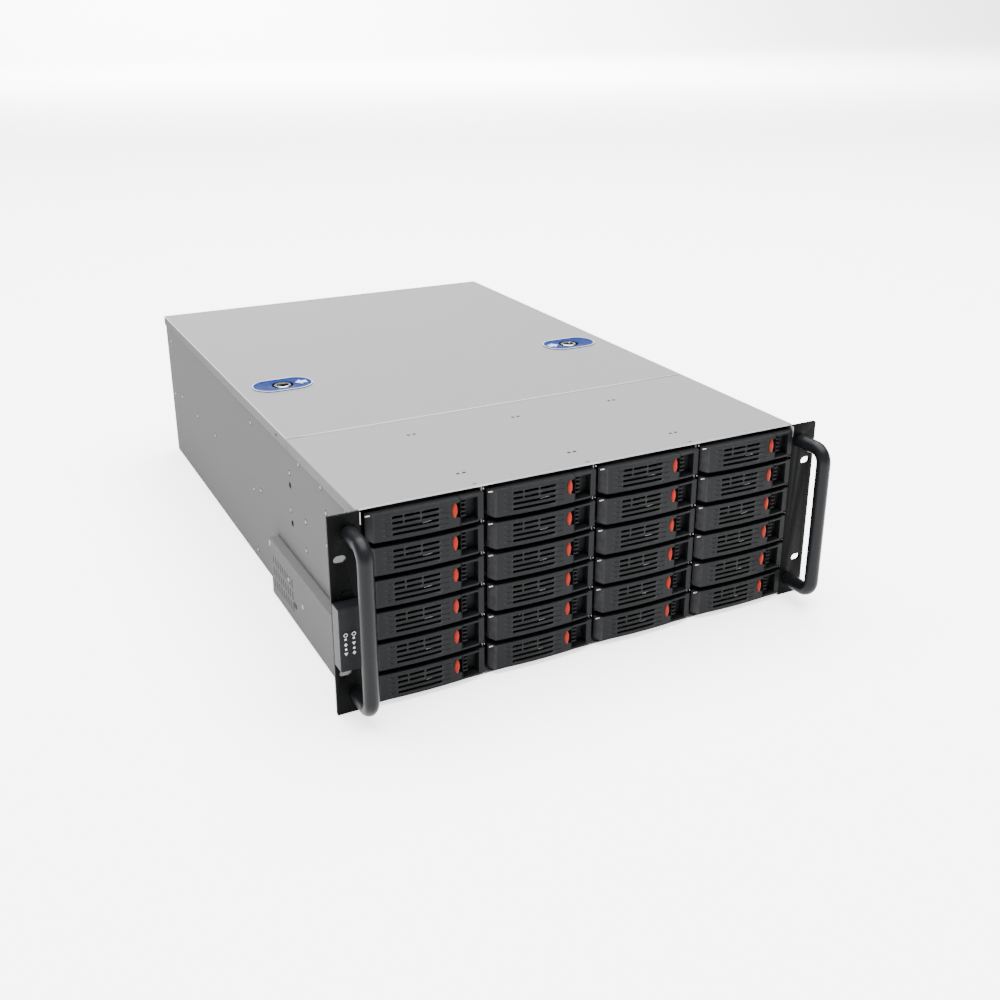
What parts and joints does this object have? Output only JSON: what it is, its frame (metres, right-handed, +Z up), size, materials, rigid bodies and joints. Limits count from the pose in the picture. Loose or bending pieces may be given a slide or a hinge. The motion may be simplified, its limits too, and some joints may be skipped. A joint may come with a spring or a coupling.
{
  "type": "rackmount server case",
  "caption": "Four-unit rack server case with hot-swap drive trays behind vented hinged levers, two bar handles, a lift-off rear lid with push latches, a fan wall and board standoffs.",
  "frame": {"origin": "middle of the overall footprint, handles included, at the underside", "axes": "+X to the right seen from the front, +Y from the drive trays to the rear, +Z up"},
  "size_m": [0.4826, 0.72, 0.1782],
  "materials": {
    "body_steel": "light grey satin coated sheet steel",
    "cover_steel": "light grey satin coated sheet steel",
    "bare_steel": "zinc-plated folded sheet",
    "screw_steel": "zinc-plated screws",
    "ear_black": "black satin coated plate",
    "handle_black": "black satin coated bar",
    "tray_grey": "dark grey satin front on a folded steel carrier",
    "lever_grey": "dark grey satin moulding",
    "button_red": "orange-red semi-gloss moulding",
    "latch_blue": "blue semi-gloss moulding",
    "latch_dark": "dark blue satin moulding",
    "board_green": "green solder mask over glass-fibre board",
    "fan_black": "black satin glass-filled moulding",
    "standoff_brass": "turned brass, nickel-free",
    "control_black": "black satin moulding",
    "control_button": "dark grey satin moulding",
    "lens_clear": "milky light pipes"
  },
  "bodies": {
    "chassis": {"base_tray": "body_steel", "rear_panel": "bare_steel", "slot_covers": "bare_steel", "front_cover": "cover_steel", "left_ear": "ear_black", "right_ear": "ear_black", "left_handle": "handle_black", "right_handle": "handle_black", "handle_screws": "screw_steel", "drive_cage": "bare_steel", "backplanes": "board_green", "fan_wall": "bare_steel", "fan_frames": "fan_black", "standoffs": "standoff_brass", "control_housing": "control_black", "control_board": "board_green", "indicator_lenses": "lens_clear", "cable_channel": "body_steel", "supply_shelf": "bare_steel"},
    "lid": {"rear_lid": "cover_steel", "latch_bezels": "latch_blue"},
    "latch_button_left": {"latch_button_left": "latch_dark"},
    "latch_button_right": {"latch_button_right": "latch_dark"},
    "tray_r1c1": {"tray_r1c1": "tray_grey"},
    "tray_r1c2": {"tray_r1c2": "tray_grey"},
    "tray_r1c3": {"tray_r1c3": "tray_grey"},
    "tray_r1c4": {"tray_r1c4": "tray_grey"},
    "tray_r2c1": {"tray_r2c1": "tray_grey"},
    "tray_r2c2": {"tray_r2c2": "tray_grey"},
    "tray_r2c3": {"tray_r2c3": "tray_grey"},
    "tray_r2c4": {"tray_r2c4": "tray_grey"},
    "tray_r3c1": {"tray_r3c1": "tray_grey"},
    "tray_r3c2": {"tray_r3c2": "tray_grey"},
    "tray_r3c3": {"tray_r3c3": "tray_grey"},
    "tray_r3c4": {"tray_r3c4": "tray_grey"},
    "tray_r4c1": {"tray_r4c1": "tray_grey"},
    "tray_r4c2": {"tray_r4c2": "tray_grey"},
    "tray_r4c3": {"tray_r4c3": "tray_grey"},
    "tray_r4c4": {"tray_r4c4": "tray_grey"},
    "tray_r5c1": {"tray_r5c1": "tray_grey"},
    "tray_r5c2": {"tray_r5c2": "tray_grey"},
    "tray_r5c3": {"tray_r5c3": "tray_grey"},
    "tray_r5c4": {"tray_r5c4": "tray_grey"},
    "tray_r6c1": {"tray_r6c1": "tray_grey"},
    "tray_r6c2": {"tray_r6c2": "tray_grey"},
    "tray_r6c3": {"tray_r6c3": "tray_grey"},
    "tray_r6c4": {"tray_r6c4": "tray_grey"},
    "lever_r1c1": {"lever_r1c1": "lever_grey"},
    "button_r1c1": {"button_r1c1": "button_red"},
    "lever_r1c2": {"lever_r1c2": "lever_grey"},
    "button_r1c2": {"button_r1c2": "button_red"},
    "lever_r1c3": {"lever_r1c3": "lever_grey"},
    "button_r1c3": {"button_r1c3": "button_red"},
    "lever_r1c4": {"lever_r1c4": "lever_grey"},
    "button_r1c4": {"button_r1c4": "button_red"},
    "fan_rotor_1": {"fan_rotor_1": "fan_black"},
    "fan_rotor_2": {"fan_rotor_2": "fan_black"},
    "fan_rotor_3": {"fan_rotor_3": "fan_black"},
    "power_button": {"power_button": "control_button"},
    "reset_button": {"reset_button": "control_button"}
  },
  "joints": [
    {"name": "lid_lift", "type": "slide", "parent": "chassis", "child": "lid", "axis": [0, 0, 1], "range_m": [0, 0.08]},
    {"name": "latch_left_press", "type": "slide", "parent": "lid", "child": "latch_button_left", "axis": [0, 0, -1], "range_m": [0, 0.0025], "stiffness_N_per_m": 400},
    {"name": "latch_right_press", "type": "slide", "parent": "lid", "child": "latch_button_right", "axis": [0, 0, -1], "range_m": [0, 0.0025], "stiffness_N_per_m": 400},
    {"name": "tray_r1c1_slide", "type": "slide", "parent": "chassis", "child": "tray_r1c1", "axis": [0, -1, 0], "range_m": [0, 0.18]},
    {"name": "tray_r1c2_slide", "type": "slide", "parent": "chassis", "child": "tray_r1c2", "axis": [0, -1, 0], "range_m": [0, 0.18]},
    {"name": "tray_r1c3_slide", "type": "slide", "parent": "chassis", "child": "tray_r1c3", "axis": [0, -1, 0], "range_m": [0, 0.18]},
    {"name": "tray_r1c4_slide", "type": "slide", "parent": "chassis", "child": "tray_r1c4", "axis": [0, -1, 0], "range_m": [0, 0.18]},
    {"name": "tray_r2c1_slide", "type": "slide", "parent": "chassis", "child": "tray_r2c1", "axis": [0, -1, 0], "range_m": [0, 0.18]},
    {"name": "tray_r2c2_slide", "type": "slide", "parent": "chassis", "child": "tray_r2c2", "axis": [0, -1, 0], "range_m": [0, 0.18]},
    {"name": "tray_r2c3_slide", "type": "slide", "parent": "chassis", "child": "tray_r2c3", "axis": [0, -1, 0], "range_m": [0, 0.18]},
    {"name": "tray_r2c4_slide", "type": "slide", "parent": "chassis", "child": "tray_r2c4", "axis": [0, -1, 0], "range_m": [0, 0.18]},
    {"name": "tray_r3c1_slide", "type": "slide", "parent": "chassis", "child": "tray_r3c1", "axis": [0, -1, 0], "range_m": [0, 0.18]},
    {"name": "tray_r3c2_slide", "type": "slide", "parent": "chassis", "child": "tray_r3c2", "axis": [0, -1, 0], "range_m": [0, 0.18]},
    {"name": "tray_r3c3_slide", "type": "slide", "parent": "chassis", "child": "tray_r3c3", "axis": [0, -1, 0], "range_m": [0, 0.18]},
    {"name": "tray_r3c4_slide", "type": "slide", "parent": "chassis", "child": "tray_r3c4", "axis": [0, -1, 0], "range_m": [0, 0.18]},
    {"name": "tray_r4c1_slide", "type": "slide", "parent": "chassis", "child": "tray_r4c1", "axis": [0, -1, 0], "range_m": [0, 0.18]},
    {"name": "tray_r4c2_slide", "type": "slide", "parent": "chassis", "child": "tray_r4c2", "axis": [0, -1, 0], "range_m": [0, 0.18]},
    {"name": "tray_r4c3_slide", "type": "slide", "parent": "chassis", "child": "tray_r4c3", "axis": [0, -1, 0], "range_m": [0, 0.18]},
    {"name": "tray_r4c4_slide", "type": "slide", "parent": "chassis", "child": "tray_r4c4", "axis": [0, -1, 0], "range_m": [0, 0.18]},
    {"name": "tray_r5c1_slide", "type": "slide", "parent": "chassis", "child": "tray_r5c1", "axis": [0, -1, 0], "range_m": [0, 0.18]},
    {"name": "tray_r5c2_slide", "type": "slide", "parent": "chassis", "child": "tray_r5c2", "axis": [0, -1, 0], "range_m": [0, 0.18]},
    {"name": "tray_r5c3_slide", "type": "slide", "parent": "chassis", "child": "tray_r5c3", "axis": [0, -1, 0], "range_m": [0, 0.18]},
    {"name": "tray_r5c4_slide", "type": "slide", "parent": "chassis", "child": "tray_r5c4", "axis": [0, -1, 0], "range_m": [0, 0.18]},
    {"name": "tray_r6c1_slide", "type": "slide", "parent": "chassis", "child": "tray_r6c1", "axis": [0, -1, 0], "range_m": [0, 0.18]},
    {"name": "tray_r6c2_slide", "type": "slide", "parent": "chassis", "child": "tray_r6c2", "axis": [0, -1, 0], "range_m": [0, 0.18]},
    {"name": "tray_r6c3_slide", "type": "slide", "parent": "chassis", "child": "tray_r6c3", "axis": [0, -1, 0], "range_m": [0, 0.18]},
    {"name": "tray_r6c4_slide", "type": "slide", "parent": "chassis", "child": "tray_r6c4", "axis": [0, -1, 0], "range_m": [0, 0.18]},
    {"name": "lever_r1c1_hinge", "type": "hinge", "parent": "tray_r1c1", "child": "lever_r1c1", "pos_m": [-0.20403, -0.3165, 0.1606], "axis": [0, 0, -1], "range_deg": [0, 60]},
    {"name": "button_r1c1_press", "type": "slide", "parent": "lever_r1c1", "child": "button_r1c1", "axis": [0, 1, 0], "range_m": [0, 0.002], "stiffness_N_per_m": 200},
    {"name": "lever_r1c2_hinge", "type": "hinge", "parent": "tray_r1c2", "child": "lever_r1c2", "pos_m": [-0.09688, -0.3165, 0.1606], "axis": [0, 0, -1], "range_deg": [0, 60]},
    {"name": "button_r1c2_press", "type": "slide", "parent": "lever_r1c2", "child": "button_r1c2", "axis": [0, 1, 0], "range_m": [0, 0.002], "stiffness_N_per_m": 200},
    {"name": "lever_r1c3_hinge", "type": "hinge", "parent": "tray_r1c3", "child": "lever_r1c3", "pos_m": [0.01027, -0.3165, 0.1606], "axis": [0, 0, -1], "range_deg": [0, 60]},
    {"name": "button_r1c3_press", "type": "slide", "parent": "lever_r1c3", "child": "button_r1c3", "axis": [0, 1, 0], "range_m": [0, 0.002], "stiffness_N_per_m": 200},
    {"name": "lever_r1c4_hinge", "type": "hinge", "parent": "tray_r1c4", "child": "lever_r1c4", "pos_m": [0.11743, -0.3165, 0.1606], "axis": [0, 0, -1], "range_deg": [0, 60]},
    {"name": "button_r1c4_press", "type": "slide", "parent": "lever_r1c4", "child": "button_r1c4", "axis": [0, 1, 0], "range_m": [0, 0.002], "stiffness_N_per_m": 200},
    {"name": "fan_rotor_1_spin", "type": "hinge", "parent": "chassis", "child": "fan_rotor_1", "pos_m": [-0.128, -0.047, 0.0692], "axis": [0, 1, 0], "continuous": true},
    {"name": "fan_rotor_2_spin", "type": "hinge", "parent": "chassis", "child": "fan_rotor_2", "pos_m": [0, -0.047, 0.0692], "axis": [0, 1, 0], "continuous": true},
    {"name": "fan_rotor_3_spin", "type": "hinge", "parent": "chassis", "child": "fan_rotor_3", "pos_m": [0.128, -0.047, 0.0692], "axis": [0, 1, 0], "continuous": true},
    {"name": "power_button_press", "type": "slide", "parent": "chassis", "child": "power_button", "axis": [0, 1, 0], "range_m": [0, 0.0015], "stiffness_N_per_m": 200},
    {"name": "reset_button_press", "type": "slide", "parent": "chassis", "child": "reset_button", "axis": [0, 1, 0], "range_m": [0, 0.0015], "stiffness_N_per_m": 200}
  ]
}
